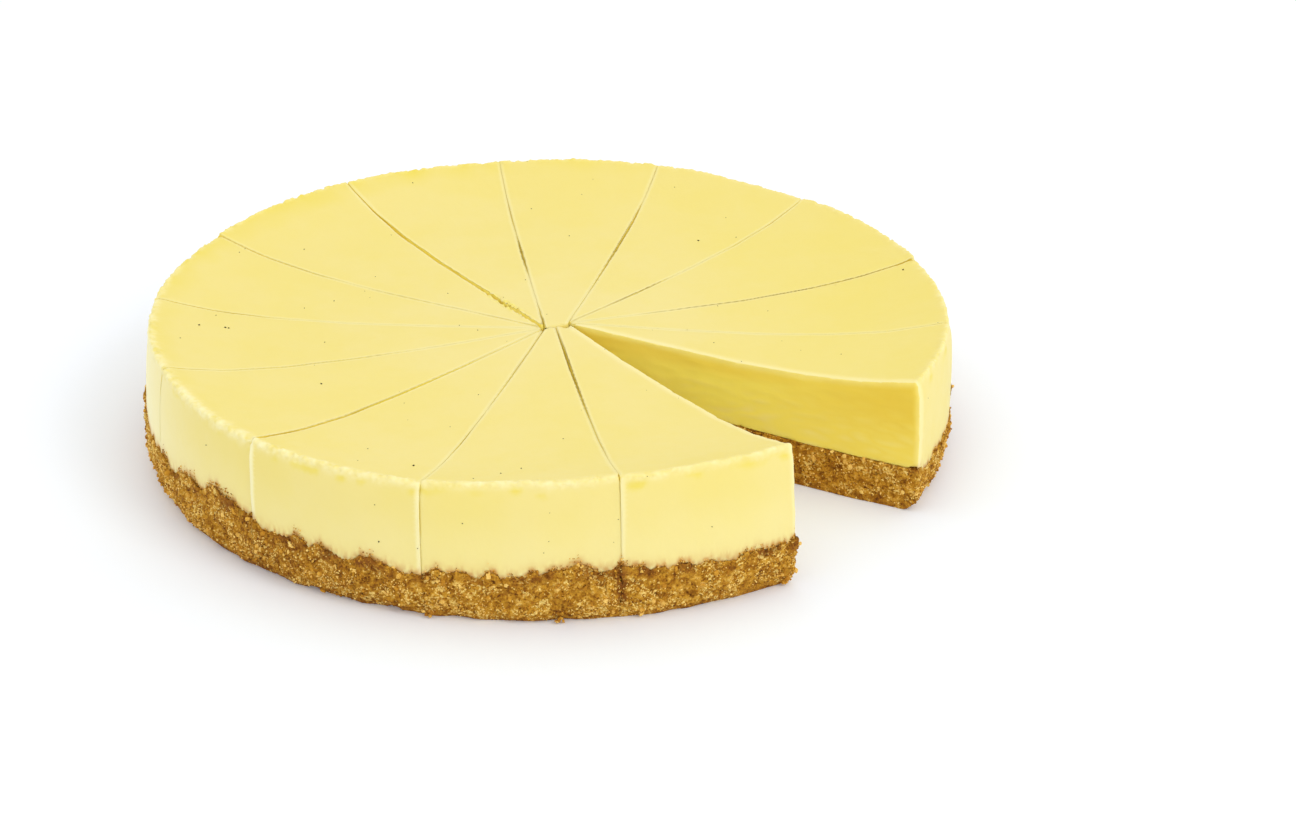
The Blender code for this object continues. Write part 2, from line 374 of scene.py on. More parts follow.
class Finish:
    """A material with its Principled shader, and the wires that its pattern starts from."""

    def __init__(self, name, **constants):
        self.material = bpy.data.materials.new(name)
        self.material.use_nodes = True
        self.tree = self.material.node_tree
        self.shader = self.tree.nodes["Principled BSDF"]
        for key, value in constants.items():
            self.shader.inputs[key.replace("_", " ")].default_value = value
        start = Wire(self.tree, None)
        self.place = start.node("ShaderNodeTexCoord", output=3)

    def attribute(self, name):
        """A value that the piece keeps for every point."""
        return self.place.node("ShaderNodeAttribute", {"attribute_name": name}, output=2)

    def feed(self, name, wire):
        """Leads a wire to one of the shader's own sockets."""
        self.tree.links.new(wire.socket, self.shader.inputs[name])

    def bump(self, height, distance, strength=1.0):
        """Adds relief that is finer than the mesh."""
        sockets = {"Height": height, "Distance": distance, "Strength": strength}
        self.feed("Normal", height.node("ShaderNodeBump", None, sockets))


def rgba(colour):
    """A colour given as screen values, as a colour socket takes it."""
    return (*linear(colour), 1.0)


def baked_filling():
    """Smooth set cheese: mottled yellow, and paler, deeper, darker or browner where its layers
    say: real crust, smears and crumb dust, and painted highlights, painted shade and painted
    bounce light.
    """
    finish = Finish(
        "baked filling",
        Subsurface_Weight=0.25,
        Subsurface_Radius=(1.0, 1.0, 0.9),
        Subsurface_Scale=0.002,
        Specular_IOR_Level=0.3,
    )
    place = finish.place
    mottle = place.noise(35, 3).between(0.35, 0.65)
    colour = (mottle * 0.2).tint(rgba(FILLING), rgba(DEEP_FILLING))
    for name, stain_and_painted_light in STAINS_AND_PAINTED_LIGHT.items():
        colour = finish.attribute(name).tint(colour, rgba(stain_and_painted_light))
    finish.feed("Base Color", colour)
    finish.feed("Roughness", place.noise(220, 2) * 0.2 + 0.4)
    grain = place.noise(900, 3) + 2.0 * place.noise(160, 2)
    finish.bump(grain, 0.0001, 0.5)
    return finish.material


def crumb_stops():
    """The crumbs' colours from dark to pale, for a colour ramp."""
    places = (0.12, 0.38, 0.62, 0.9)
    return [(place, linear(colour)) for place, colour in zip(places, CRUMB_TONES)]


def biscuit_crumb():
    """The pressed base: pale flakes in clusters, partly painted highlights, dark hollows of
    painted shade, and a baked brown tint that is partly painted shade.
    """
    finish = Finish("biscuit crumb", Specular_IOR_Level=0.2)
    place = finish.place
    wander = place.noise(900, 2) * 0.0008
    shifted = place.node("ShaderNodeVectorMath", {"operation": "ADD"}, {0: place, 1: wander})
    grains = place.node("ShaderNodeTexVoronoi", None, {"Vector": shifted, "Scale": 1900}, 1)
    # The pale flakes stand partly for lit crumb tops, as painted highlights; the pits are painted
    # shade between the grains
    flakes = grains.node("ShaderNodeSeparateColor", None, {0: grains}, 0).between(0.6, 0.9)
    shaded_pits = grains.node("ShaderNodeSeparateColor", None, {0: grains}, 1).between(0.78, 0.98)
    clusters = place.noise(170, 3).between(0.42, 0.6)
    shade = finish.attribute("shade")
    tone = 1.5 * place.noise(420, 5, 0.65) + 0.5 * flakes * clusters - 0.22
    tone = tone - 0.24 * shaded_pits - 0.2 * shade
    ramped = tone.node("ShaderNodeValToRGB", {"stops": crumb_stops()}, {0: tone})
    finish.feed("Base Color", (shade * 0.6).tint(ramped, rgba(BAKED_AND_SHADED_CRUMB)))
    finish.feed("Roughness", place.noise(600) * 0.3 + 0.65)
    finish.bump(place.noise(2600, 3), 0.0005)
    return finish.material


def loose_crumb():
    """A crumb of one tone, which its piece gives."""
    finish = Finish("loose crumb", Specular_IOR_Level=0.25)
    tone = finish.attribute("tone") + 0.25 * finish.place.noise(1800, 2) - 0.125
    ramped = tone.node("ShaderNodeValToRGB", {"stops": crumb_stops()}, {0: tone})
    finish.feed("Base Color", ramped)
    finish.feed("Roughness", finish.place.noise(600) * 0.3 + 0.6)
    return finish.material


def vanilla_speck():
    """Dull and almost black."""
    finish = Finish("vanilla speck", Roughness=0.8, Specular_IOR_Level=0.05)
    tone = finish.place.noise(3000).between(0.3, 0.7)
    finish.feed("Base Color", tone.tint(*map(rgba, SPECK_TONES)))
    return finish.material


class Wedge:
    """One layer of one slice while it is being worked."""

    def __init__(self, number, layer, limits, edge_limit):
        self.number = number
        self.node = f"slice_{number:02d}_{layer}"
        self.layer = layer
        self.limits = list(limits)
        if number == 1:
            self.limits[FIRST_CUT] = GAP_LIMIT
        if number == SLICES:
            self.limits[LAST_CUT] = GAP_LIMIT
        self.edge_limit = edge_limit
        self.copy_solid()
        self.mark_regions()
        self.find_features()
        self.refine()
        self.measure()

    def copy_solid(self):
        """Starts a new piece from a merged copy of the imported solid's mesh."""
        name = f"dressed_{self.node}"
        self.mesh = frame["nodes"][self.node].data.copy()
        self.mesh.name = name
        self.piece = bpy.data.objects.new(name, self.mesh)
        bpy.context.scene.collection.objects.link(self.piece)
        make_active(self.piece)
        bpy.ops.mesh.customdata_custom_splitnormals_clear()
        bpy.ops.object.mode_set(mode="EDIT")
        bpy.ops.mesh.select_all(action="SELECT")
        bpy.ops.mesh.remove_doubles(threshold=MERGE)
        bpy.ops.object.mode_set(mode="OBJECT")

    def mark_regions(self):
        """Names every face's region from the way it faces."""
        self.outwards = outward(self.mesh)
        self.leftwards = Vector((-self.outwards.y, self.outwards.x))
        region = self.mesh.attributes.new("region", "INT", "FACE")
        for face in self.mesh.polygons:
            region.data[face.index].value = self.region_of(face.normal)

    def region_of(self, normal):
        """The region of a face that faces this way."""
        if abs(normal.z) > FLAT_NORMAL:
            return TOP if normal.z > 0 else UNDERSIDE
        if normal.xy.dot(self.outwards) > WALL_NORMAL:
            return WALL
        if normal.xy.dot(self.outwards) < -HUB_NORMAL:
            return HUB
        return FIRST_CUT if normal.xy.dot(self.leftwards) < 0 else LAST_CUT

    def find_features(self):
        """Gathers points along every edge between two regions, by the pair of them."""
        block = bmesh.new()
        block.from_mesh(self.mesh)
        region = block.faces.layers.int["region"]
        self.features = {}
        for edge in block.edges:
            pair = tuple(sorted({face[region] for face in edge.link_faces}))
            if len(pair) == 2:
                start, end = (vert.co for vert in edge.verts)
                steps = max(1, math.ceil((end - start).length / FEATURE_STEP))
                along = [start.lerp(end, step / steps) for step in range(steps)]
                self.features.setdefault(pair, []).extend(along)
        block.free()

    def search(self, *pairs):
        """A search tree over the points along those edges."""
        points = [point for pair in pairs for point in self.features.get(pair, [])]
        tree = kdtree.KDTree(len(points))
        for index, point in enumerate(points):
            tree.insert(point, index)
        tree.balance()
        return tree

    def distance(self, *pairs):
        """How far every point is from the edges between those regions."""
        tree = self.search(*pairs)
        return np.array([tree.find(point)[2] for point in self.points.tolist()])

    def shows(self, pair):
        """Whether the edge between two regions can be seen."""
        if WALL in pair:
            return True
        hidden = self.layer == "base" and not any(self.faces_gap(side) for side in pair)
        return UNDERSIDE not in pair and not hidden

    def refine(self):
        """Halves every edge that is too long for where it is, a number of times over."""
        pairs = [pair for pair in self.features if self.shows(pair)]
        tree = self.search(*pairs)
        distances = np.empty(0)
        bpy.context.tool_settings.mesh_select_mode = (False, True, False)
        for turn in range(HALVINGS):
            self.read()
            new_points = self.points[len(distances):]
            new_distances = [tree.find(point)[2] for point in new_points.tolist()]
            distances = np.concatenate([distances, new_distances])
            closest = distances[self.edges].min(axis=1)
            limits = np.minimum(self.region_limits(), self.edge_limit + EDGE_GRADE * closest)
            lengths = np.linalg.norm(np.diff(self.points[self.edges], axis=1)[:, 0], axis=1)
            self.mesh.vertices.foreach_set("select", np.zeros(len(self.points), bool))
            self.mesh.polygons.foreach_set("select", np.zeros(len(self.mesh.polygons), bool))
            self.mesh.edges.foreach_set("select", lengths > limits)
            make_active(self.piece)
            bpy.ops.object.mode_set(mode="EDIT")
            bpy.ops.mesh.subdivide(number_cuts=1)
            bpy.ops.mesh.select_all(action="SELECT")
            bpy.ops.mesh.quads_convert_to_tris()
            bpy.ops.object.mode_set(mode="OBJECT")
        self.read()

    def region_limits(self):
        """The longest that each edge may be for the regions that it lies in."""
        edges = np.empty(len(self.mesh.loops), int)
        self.mesh.loops.foreach_get("edge_index", edges)
        limits = np.full(len(self.mesh.edges), np.inf)
        np.minimum.at(limits, edges, np.array(self.limits)[np.repeat(self.face_region, 3)])
        return limits

    def read(self):
        """Takes the mesh into arrays: its points, edges, and each point's regions."""
        mesh = self.mesh
        self.points = np.empty(len(mesh.vertices) * 3)
        mesh.vertices.foreach_get("co", self.points)
        self.points = self.points.reshape(-1, 3)
        self.edges = np.empty(len(mesh.edges) * 2, int)
        mesh.edges.foreach_get("vertices", self.edges)
        self.edges = self.edges.reshape(-1, 2)
        self.face_region = np.empty(len(mesh.polygons), int)
        mesh.attributes["region"].data.foreach_get("value", self.face_region)

    def measure(self):
        """Works out each point's regions, and how near it is to the edges that show."""
        corners = np.empty(len(self.mesh.loops), int)
        self.mesh.loops.foreach_get("vertex_index", corners)
        corner_region = np.repeat(self.face_region, 3)
        self.in_region = np.zeros((REGIONS, len(self.points)), bool)
        for region in range(REGIONS):
            self.in_region[region, corners[corner_region == region]] = True
        self.rank = self.in_region.sum(axis=0)
        self.to_rim = self.distance((TOP, WALL))
        self.to_seam = self.distance((WALL, UNDERSIDE))
        self.to_top_edge = {side: self.distance((TOP, side)) for side in SIDES}
        self.to_corner = {side: self.distance((WALL, side)) for side in SIDES}

    def faces_gap(self, side):
        """Whether that side of the slice stands free in the gap."""
        return (self.number, side) in ((1, FIRST_CUT), (SLICES, LAST_CUT))

    def cut_number(self, side):
        """The number of the cut on that side of the slice."""
        return self.number - 1 if side == FIRST_CUT else self.number

    def cuts(self):
        """The sides that lie against another slice, each with its cut's number."""
        return [(side, self.cut_number(side)) for side in SIDES if not self.faces_gap(side)]

    def across(self, side):
        """The level direction out of that side, towards the next slice."""
        normal = np.array(cut_face(self.number, side)[1])
        normal[2] = 0.0
        return normal

    def write(self):
        """Puts the points back into the mesh."""
        self.mesh.vertices.foreach_set("co", self.points.ravel())
        self.mesh.update()

    def normals(self):
        """The way that the surface faces at every point."""
        self.write()
        found = np.empty(len(self.points) * 3, np.float32)
        self.mesh.vertex_normals.foreach_get("vector", found)
        return found.reshape(-1, 3)

    def push(self, amounts):
        """Moves every point along its normal."""
        self.points += self.normals() * amounts[:, None]

    def relax(self, weights, passes, over_edges=False):
        """Evens the surface out. Points on an edge between regions stay on it, unless
        the surface is to be rounded over such edges."""
        takers = np.concatenate([self.edges[:, 0], self.edges[:, 1]])
        givers = np.concatenate([self.edges[:, 1], self.edges[:, 0]])
        if not over_edges:
            keep = self.rank[givers] >= self.rank[takers]
            takers, givers = takers[keep], givers[keep]
        count = len(self.points)
        shares = np.bincount(takers, minlength=count)
        weights = 0.5 * weights * (shares > 0)
        shares = np.maximum(shares, 1)
        for turn in range(passes):
            for axis in range(3):
                column = self.points[:, axis]
                mean = np.bincount(takers, column[givers], count) / shares
                column += weights * (mean - column)

    def stain_and_painted_light(self, name, values):
        """Keeps a value for every point, which the finish reads."""
        attribute = self.mesh.attributes.new(name, "FLOAT", "POINT")
        attribute.data.foreach_set("value", values.astype(np.float32))

    def finish(self, material, slot):
        """Gives the mesh its material and puts it in the solid's place."""
        self.write()
        self.mesh.attributes.remove(self.mesh.attributes["region"])
        self.mesh.materials.clear()
        self.mesh.materials.append(material)
        self.mesh.shade_smooth()
        place(self.piece, slot)
        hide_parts(self.node)


def cut_face(number, side):
    """The middle and the outward direction of a filling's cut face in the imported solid."""
    mesh = frame["nodes"][f"slice_{number:02d}_filling"].data
    outwards = outward(mesh)
    sideways = Vector((-outwards.y, outwards.x)) * (1 if side == LAST_CUT else -1)
    faces = [face for face in mesh.polygons if face.normal.xy.dot(sideways) > CUT_NORMAL]
    area = sum(face.area for face in faces)
    centre = sum((face.center * face.area for face in faces), Vector()) / area
    normal = sum((face.normal * face.area for face in faces), Vector()).normalized()
    return centre, normal


def cut_widths():
    """The width of every cut between two slices, in order, measured on the solids."""
    widths = [0.0]
    for number in range(1, SLICES):
        centre, normal = cut_face(number, LAST_CUT)
        other_centre, _ = cut_face(number + 1, FIRST_CUT)
        widths.append((other_centre - centre).dot(normal))
    return widths + [0.0]


def openness(cut, points):
    """How far a cut stands open on the top at points, as a share of its width."""
    return profile(TOP_OPENNESS[cut], reach_share(points))


def wall_openness(cut, points):
    """The same for a cut on the wall."""
    shares = (points[:, 2] - SEAM_HEIGHT) / (RIM_HEIGHT - SEAM_HEIGHT)
    return profile(WALL_OPENNESS.get(cut, SHUT_WALL), shares)


def close_cuts(wedge, widths):
    """Moves cut faces together: each cut is a groove, as deep as its width asks for, that
    stands open by its share and is shut below."""
    points = wedge.points
    for side, cut in wedge.cuts():
        half = widths[cut] / 2
        depth = 0.3 * MM + 0.8 * widths[cut]
        on_top = openness(cut, points) * np.exp(-wedge.to_top_edge[side] / depth)
        on_wall = wall_openness(cut, points) * np.exp(-wedge.to_corner[side] / depth)
        wander = 1 + 0.6 * ripple(points, 2.5 * MM, 3.0 + cut)
        torn = np.zeros(len(points))
        if cut == TORN_CUT:
            torn = np.exp(-(((reach_share(points) - TORN_PLACE) / TORN_SPREAD) ** 2))
            wander += torn * (0.5 + 2.0 * ripple(points, 1.3 * MM, 23.0 + side))
        wanted = np.maximum(on_top, on_wall) * half * wander
        wanted = np.clip(wanted, CLOSED, half * (1.4 + 1.2 * torn))
        wedge.points += np.outer((half - wanted) * wedge.in_region[side], wedge.across(side))


def close_hub(wedge):
    """Moves a slice's blunt end against those across the hub."""
    from_middle = np.hypot(*(wedge.points[:, :2] - HUB_MIDDLE).T)
    closing = HUB_CLOSING * (1 + np.clip(1 - from_middle / HUB_SPREAD, 0, 1))
    wedge.points[:, :2] -= np.outer(closing * wedge.in_region[HUB], wedge.outwards)


def torn_edge(wedge):
    """1 where the filling tore along the cut, down to 0 away from there."""
    if TORN_CUT not in (wedge.number - 1, wedge.number):
        return np.zeros(len(wedge.points))
    edge = wedge.to_top_edge[FIRST_CUT if wedge.number > TORN_CUT else LAST_CUT]
    away = (reach_share(wedge.points) - TORN_PLACE) / TORN_SPREAD
    return np.exp(-(away ** 2) - (edge / (1.1 * MM)) ** 2)


def close_base(wedge, widths):
    """Shuts the base's cuts, opens the cracked one again in a ragged crack, and gives back
    how near every point is to that."""
    points = wedge.points
    crack = np.zeros(len(points))
    for side, cut in wedge.cuts():
        across = wedge.across(side)
        cracked = cut == CRACKED_CUT
        if cracked:
            ragged = 0.3 + 1.3 * ripple(points, 2.4 * MM, 22.0 + side)
            ragged += 0.6 * ripple(points, MM, 24.0)
            upper = ramp(points[:, 2], 3.5 * MM, 8 * MM)
        wedge.points += np.outer((widths[cut] / 2 - CLOSED) * wedge.in_region[side], across)
        if cracked:
            near = np.exp(-((wedge.to_corner[side] / (1.5 * MM)) ** 2)) * upper
            wedge.points -= np.outer(MM * np.clip(ragged, -0.1, 0.9) * near, across)
            crack = np.exp(-((wedge.to_corner[side] / (1.0 * MM)) ** 2)) * upper
    return crack


def soften_cut_edges(wedge):
    """Rounds the edges along the cuts, more where a cut stands open and most at the gap."""
    for side in SIDES:
        top_edge, corner = wedge.to_top_edge[side], wedge.to_corner[side]
        closest = np.minimum(top_edge, corner)
        if wedge.faces_gap(side):
            wedge.relax(1 - ramp(closest, 1.0 * MM, 3.6 * MM), 40, over_edges=True)
            continue
        near = 1 - ramp(closest, 0.4 * MM, 1.4 * MM)
        cut = wedge.cut_number(side)
        share = np.where(
            top_edge < corner,
            2 * openness(cut, wedge.points),
            0.2 * PALE_CORNERS.get(cut, FAINT_CORNERS)[side == FIRST_CUT],
        )
        wedge.relax(near * np.clip(0.05 + 0.9 * share, 0, 1), 6, over_edges=True)


def roughen_rim(wedge):
    """Gives the rim its raised and ragged edge, crusted at the front and thin at the back,
    and gives back how pale it is for that."""
    points = wedge.points
    wedge.relax(1 - ramp(wedge.to_rim, 0.6 * MM, 1.5 * MM), 5, over_edges=True)
    crust = 0.25 + 0.75 * near_angle(points, 222, 50)
    rim = np.exp(-((wedge.to_rim / ((0.9 + 0.8 * crust) * MM)) ** 2))
    ragged = 0.3 * ripple(points, 2.4 * MM, 4.0) + 0.28 * ripple(points, 1.0 * MM, 5.0)
    flakes = 0.3 * crust * lumps(points, 1.9 * MM, 25.0)
    chips = ramp(ripple(points, 1.9 * MM, 16.0), 0.15, 0.5)
    swell = 0.3 * ripple(points, 8 * MM, 6.0)
    wedge.push(MM * rim * (0.26 + ragged + flakes + swell - 0.4 * chips))
    return rim * (0.25 + 0.42 * crust)


def dress_filling(number, widths, material):
    """Works one slice's filling, and gives back its top, its wall and the wall's foot."""
    wedge = Wedge(number, "filling", FILLING_LIMITS, FILLING_EDGE_LIMIT)
    calm = np.ones(len(wedge.points))
    smeared = np.zeros(len(wedge.points))
    for side in SIDES:
        if wedge.faces_gap(side):
            smeared = wedge.in_region[side] * (1.0 - wedge.in_region[TOP])
            calm -= 0.8 * wedge.in_region[side]
    wedge.relax(calm, 40)
    close_cuts(wedge, widths)
    close_hub(wedge)
    soften_cut_edges(wedge)
    points = wedge.points
    outside = wedge.in_region[TOP] | wedge.in_region[WALL]
    even = 0.1 * ripple(points, 11 * MM, 7.0) + 0.03 * ripple(points, 2 * MM, 8.0)
    streaks = ripple(points * (0.3, 0.3, 1.0), 2.2 * MM, 9.0)
    smear = 0.14 * streaks + 0.12 * ripple(points, 6 * MM, 10.0)
    wedge.push(MM * (even * outside + smear * smeared))
    torn = torn_edge(wedge)
    wedge.points[:, 2] += 1.3 * MM * torn * (ripple(points, 1.2 * MM, 28.0) - 0.15)
    hanging = np.minimum(climb(points), 0) * np.exp(-((wedge.to_seam / (2.5 * MM)) ** 2))
    wedge.points[:, 2] += hanging * wedge.in_region[WALL]
    rim = roughen_rim(wedge)
    paint_filling_layers(wedge, rim, outside, streaks * smeared)
    wedge.finish(material, "filling")
    normals = wedge.normals()
    foot = wedge.in_region[WALL] & (wedge.to_seam < 5 * MM)
    parts = (wedge.in_region[TOP], wedge.in_region[WALL], foot)
    return [(wedge.points[part], normals[part]) for part in parts] + [wedge.to_seam[foot]]


def paleness_and_highlights(wedge, rim):
    """How pale the filling is: a real pale crust at its rim, paler low on the wall, painted light
    on the far-left wall, and painted highlights along its cut edges and the gap's edges.
    """
    points = wedge.points
    on_top, on_wall = wedge.in_region[TOP], wedge.in_region[WALL]
    pale = rim * (0.85 + 0.9 * ripple(points, 3 * MM, 17.0) + 0.7 * ripple(points, 1.2 * MM, 26.0))
    low = 0.22 * (1 - ramp(points[:, 2], 20 * MM, 38 * MM)) * (1 - near_angle(points, -12, 25))
    # Painted light on the far-left wall, reflected from the white surroundings
    low += 0.9 * near_angle(points, 190, 17)
    pale = np.maximum(pale, low * on_wall)
    # Painted highlights on the rounded edges along the gap and along the cuts, on the top and at
    # the wall's corners
    for side in SIDES:
        edge, corner = wedge.to_top_edge[side], wedge.to_corner[side]
        if wedge.faces_gap(side):
            pale = np.maximum(pale, 0.5 * (1 - ramp(np.minimum(edge, corner), 0.4 * MM, 3.0 * MM)))
            continue
        share = PALE_CORNERS.get(wedge.cut_number(side), FAINT_CORNERS)[side == FIRST_CUT]
        pale = np.maximum(pale, 0.3 * (1 - ramp(edge, 0.3 * MM, 1.2 * MM)) * on_top)
        pale = np.maximum(pale, share * (1 - ramp(corner, 0.6 * MM, 1.4 * MM)) * on_wall)
    return pale


def painted_groove_shade(wedge):
    """The painted shade of the dark line that an open cut draws on the top."""
    groove = np.zeros(len(wedge.points))
    for side, cut in wedge.cuts():
        line = np.clip(openness(cut, wedge.points), 0, 1)
        line = line * (1 - ramp(wedge.to_top_edge[side], 0.0, 0.45 * MM))
        groove = np.maximum(groove, line * (0.4 if cut == TORN_CUT else 1.0))
    return groove


def depth_of_colour(wedge):
    """How deep a yellow the outside is: in a band of painted shade on the slope inside the rim,
    more of it at the back, towards the sides, and in patches below the rim."""
    points = wedge.points
    # The band inside the rim is painted shade on its slope
    bank = (0.25 + 0.85 * near_angle(points, 148, 68)) * np.exp(-wedge.to_rim / (6 * MM))
    bank = bank * (0.85 + 0.6 * ripple(points, 9 * MM, 19.0))
    sides = 0.34 * near_angle(points, 5, 70) + 0.15 * near_angle(points, 175, 60) + 0.06
    sides = sides * ramp(np.hypot(points[:, 0], points[:, 1]), 25 * MM, 90 * MM)
    below = np.exp(-(((wedge.to_rim - 2.2 * MM) / (1.1 * MM)) ** 2)) * wedge.in_region[WALL]
    patches = ramp(ripple(points, 5 * MM, 18.0), 0.0, 0.45)
    deep = np.maximum(bank, sides) * wedge.in_region[TOP] + 0.9 * below * patches
    return np.clip(deep, 0, 1)


def crumb_dust(wedge):
    """How browned the wall is by the crumbs that climb it."""
    heap = np.maximum(climb(wedge.points), 0)
    dust = np.exp(-np.maximum(wedge.to_seam - 1.1 * heap - 0.5 * MM, 0) / (0.9 * MM))
    dust = dust * (0.75 + 1.3 * ripple(wedge.points, 1.3 * MM, 20.0))
    return np.clip(dust, 0, 1) * wedge.in_region[WALL]


def paint_filling_layers(wedge, rim, outside, streaks):
    """Keeps, for its finish, where the filling is pale (a real crust and smears, painted
    highlights and painted light), grooved (painted shade), freshly cut (with painted bounce
    light), ripe (with painted bounce light below the top edge), deep (partly painted shade) and
    crumbed."""
    points = wedge.points
    reach = np.hypot(points[:, 0], points[:, 1])
    lower = 1 - ramp(points[:, 2], 18 * MM, 34 * MM)
    cut = (wedge.in_region[FIRST_CUT] | wedge.in_region[LAST_CUT]) & ~outside
    pale = np.maximum(paleness_and_highlights(wedge, rim), np.abs(streaks) * (0.1 + 0.6 * lower))
    # Painted light on the cut faces, brighter towards the middle
    pale = np.maximum(pale, 0.2 * (1 - ramp(reach, 20 * MM, 70 * MM)) * cut)
    wedge.stain_and_painted_light("pale", np.clip(pale, 0, 1))
    wedge.stain_and_painted_light("groove", painted_groove_shade(wedge))
    # The cut faces' colour is partly painted bounce light, full on the gap's faces and where other
    # cuts stand open
    cut = cut * (1 - np.clip(pale, 0, 1))
    for side, number in wedge.cuts():
        agape = np.maximum(openness(number, points), wall_openness(number, points))
        cut = np.where(wedge.in_region[side], cut * np.clip(4 * agape, 0, 1), cut)
    torn = torn_edge(wedge) * ramp(ripple(points, 1.6 * MM, 29.0), -0.25, 0.2)
    wedge.stain_and_painted_light("cut", np.maximum(cut, 0.9 * torn))
    # The band below the top edge is painted bounce light; the ramp makes the cut faces deeper
    # yellow towards the rim and less so low down
    edge = np.minimum(*wedge.to_top_edge.values())
    band = 0.6 * np.exp(-(((edge - 3 * MM) / (3 * MM)) ** 2))
    ripe = np.maximum(ramp(reach, 50 * MM, 125 * MM), band) * (1 - 0.4 * lower)
    wedge.stain_and_painted_light("ripe", ripe * cut)
    wedge.stain_and_painted_light("deep", depth_of_colour(wedge))
    wedge.stain_and_painted_light("crumbed", crumb_dust(wedge))


def roughen_base(wedge, outside):
    """Gives the base its grit, its crevices and its lip at the seam, and gives back where the
    crevices and the foot are."""
    points = wedge.points
    grit = 0.24 * lumps(points, 4.2 * MM, 11.0) + 0.34 * lumps(points, 1.7 * MM, 12.0)
    grit += 0.34 * lumps(points, 0.9 * MM, 13.0)
    crevices = np.exp(-((ripple(points, 5 * MM, 33.0) / 0.035) ** 2))
    crevices = crevices * ramp(ripple(points, 9 * MM, 34.0), -0.1, 0.25)
    foot = np.exp(-((points[:, 2] / (1.8 * MM)) ** 2))
    wedge.push(MM * (grit - 0.1 - 0.5 * crevices) * outside * (1 - 0.75 * foot))
    seam = np.exp(-((wedge.to_rim / (1.7 * MM)) ** 2))
    height = climb(points)
    points[:, 2] += (0.15 * MM + height) * seam * outside
    out = points[:, :2] / np.linalg.norm(points[:, :2], axis=1)[:, None]
    lip = np.where(height > 0, 0.55 * MM, -0.35 * MM) * seam
    points[:, :2] += out * (lip * wedge.in_region[WALL])[:, None]
    points[:, 2] = np.maximum(points[:, 2], 0.0)
    return crevices, foot


def dress_base(number, widths, material):
    """Works one slice's base, and gives back the surface that shows."""
    wedge = Wedge(number, "base", CRUMB_LIMITS, CRUMB_EDGE_LIMIT)
    wedge.relax(np.ones(len(wedge.points)), 8)
    crack = close_base(wedge, widths)
    points = wedge.points
    outside = wedge.in_region[WALL].copy()
    for side in SIDES:
        if wedge.faces_gap(side):
            outside |= wedge.in_region[side]
    crevices, foot = roughen_base(wedge, outside)
    # The shade layer: reddish-brown patches under the seam are the crumb's own colour, it is
    # darker at the foot and most at the front left, and the crevices and the crack are painted
    # shade
    patches = ramp(ripple(points, 6 * MM, 21.0), 0.0, 0.35)
    upper = np.exp(-(((wedge.to_rim - 0.8 * MM) / (2.2 * MM)) ** 2)) * patches
    lower = 0.8 * foot * (0.3 + 0.7 * near_angle(points, 225, 40))
    shade = np.max([0.8 * upper, lower, 0.8 * crevices, 1.2 * crack], axis=0)
    # Painted shade on the left side, and painted light that makes the far left paler
    shade += 0.25 * near_angle(points, 235, 14) - 0.5 * near_angle(points, 190, 20)
    wedge.stain_and_painted_light("shade", np.clip(shade, -0.5, 1))
    wedge.finish(material, "crumb")
    normals = wedge.normals()
    return wedge.points[outside], normals[outside]


def crumb_shape(number, fineness):
    """One angular crumb about one unit across: its points and its triangles."""
    bpy.ops.mesh.primitive_ico_sphere_add(subdivisions=fineness, radius=0.5)
    crumb = bpy.context.object
    bpy.ops.object.mode_set(mode="EDIT")
    bpy.ops.mesh.select_all(action="SELECT")
    bpy.ops.transform.vertex_random(offset=0.16, uniform=0.6, normal=0.4, seed=number)
    bpy.ops.transform.resize(value=CRUMB_PROPORTIONS)
    bpy.ops.object.mode_set(mode="OBJECT")
    points = np.array([vert.co for vert in crumb.data.vertices])
    triangles = np.array([face.vertices for face in crumb.data.polygons])
    bpy.data.objects.remove(crumb)
    return points, triangles


def turns(count, draw):
    """Random rotations, as matrices."""
    quaternions = draw.normal(size=(count, 4))
    quaternions /= np.linalg.norm(quaternions, axis=1)[:, None]
    w, x, y, z = quaternions.T
    rows = (
        (1 - 2 * (y * y + z * z), 2 * (x * y - w * z), 2 * (x * z + w * y)),
        (2 * (x * y + w * z), 1 - 2 * (x * x + z * z), 2 * (y * z - w * x)),
        (2 * (x * z - w * y), 2 * (y * z + w * x), 1 - 2 * (x * x + y * y)),
    )
    return np.array(rows).transpose(2, 0, 1)


def scatter(name, shapes, places, sizes, tones, material, slot, draw):
    """One piece of many small shapes, each turned at random and kept at its place."""
    points, triangles, shades, count = [], [], [], 0
    kinds = draw.integers(len(shapes), size=len(places))
    rotations = turns(len(places), draw)
    for kind, (shape, faces) in enumerate(shapes):
        chosen = np.flatnonzero(kinds == kind)
        turned = np.einsum("nij,vj->nvi", rotations[chosen], shape)
        turned = turned * sizes[chosen, None, None] + places[chosen, None, :]
        starts = count + np.arange(len(chosen)) * len(shape)
        points.append(turned.reshape(-1, 3))
        triangles.append((faces[None] + starts[:, None, None]).reshape(-1, 3))
        shades.append(np.repeat(tones[chosen], len(shape)))
        count += len(chosen) * len(shape)
    mesh = bpy.data.meshes.new(name)
    mesh.from_pydata(np.concatenate(points), [], np.concatenate(triangles))
    tone = mesh.attributes.new("tone", "FLOAT", "POINT")
    tone.data.foreach_set("value", np.concatenate(shades).astype(np.float32))
    mesh.materials.append(material)
    piece = bpy.data.objects.new(name, mesh)
    bpy.context.scene.collection.objects.link(piece)
    place(piece, slot)


def on_cake(angle, reach, height):
    """A point at an angle in degrees, and a distance and a height in mm."""
    turn = math.radians(angle)
    return np.array((math.cos(turn) * reach, math.sin(turn) * reach, height)) * MM


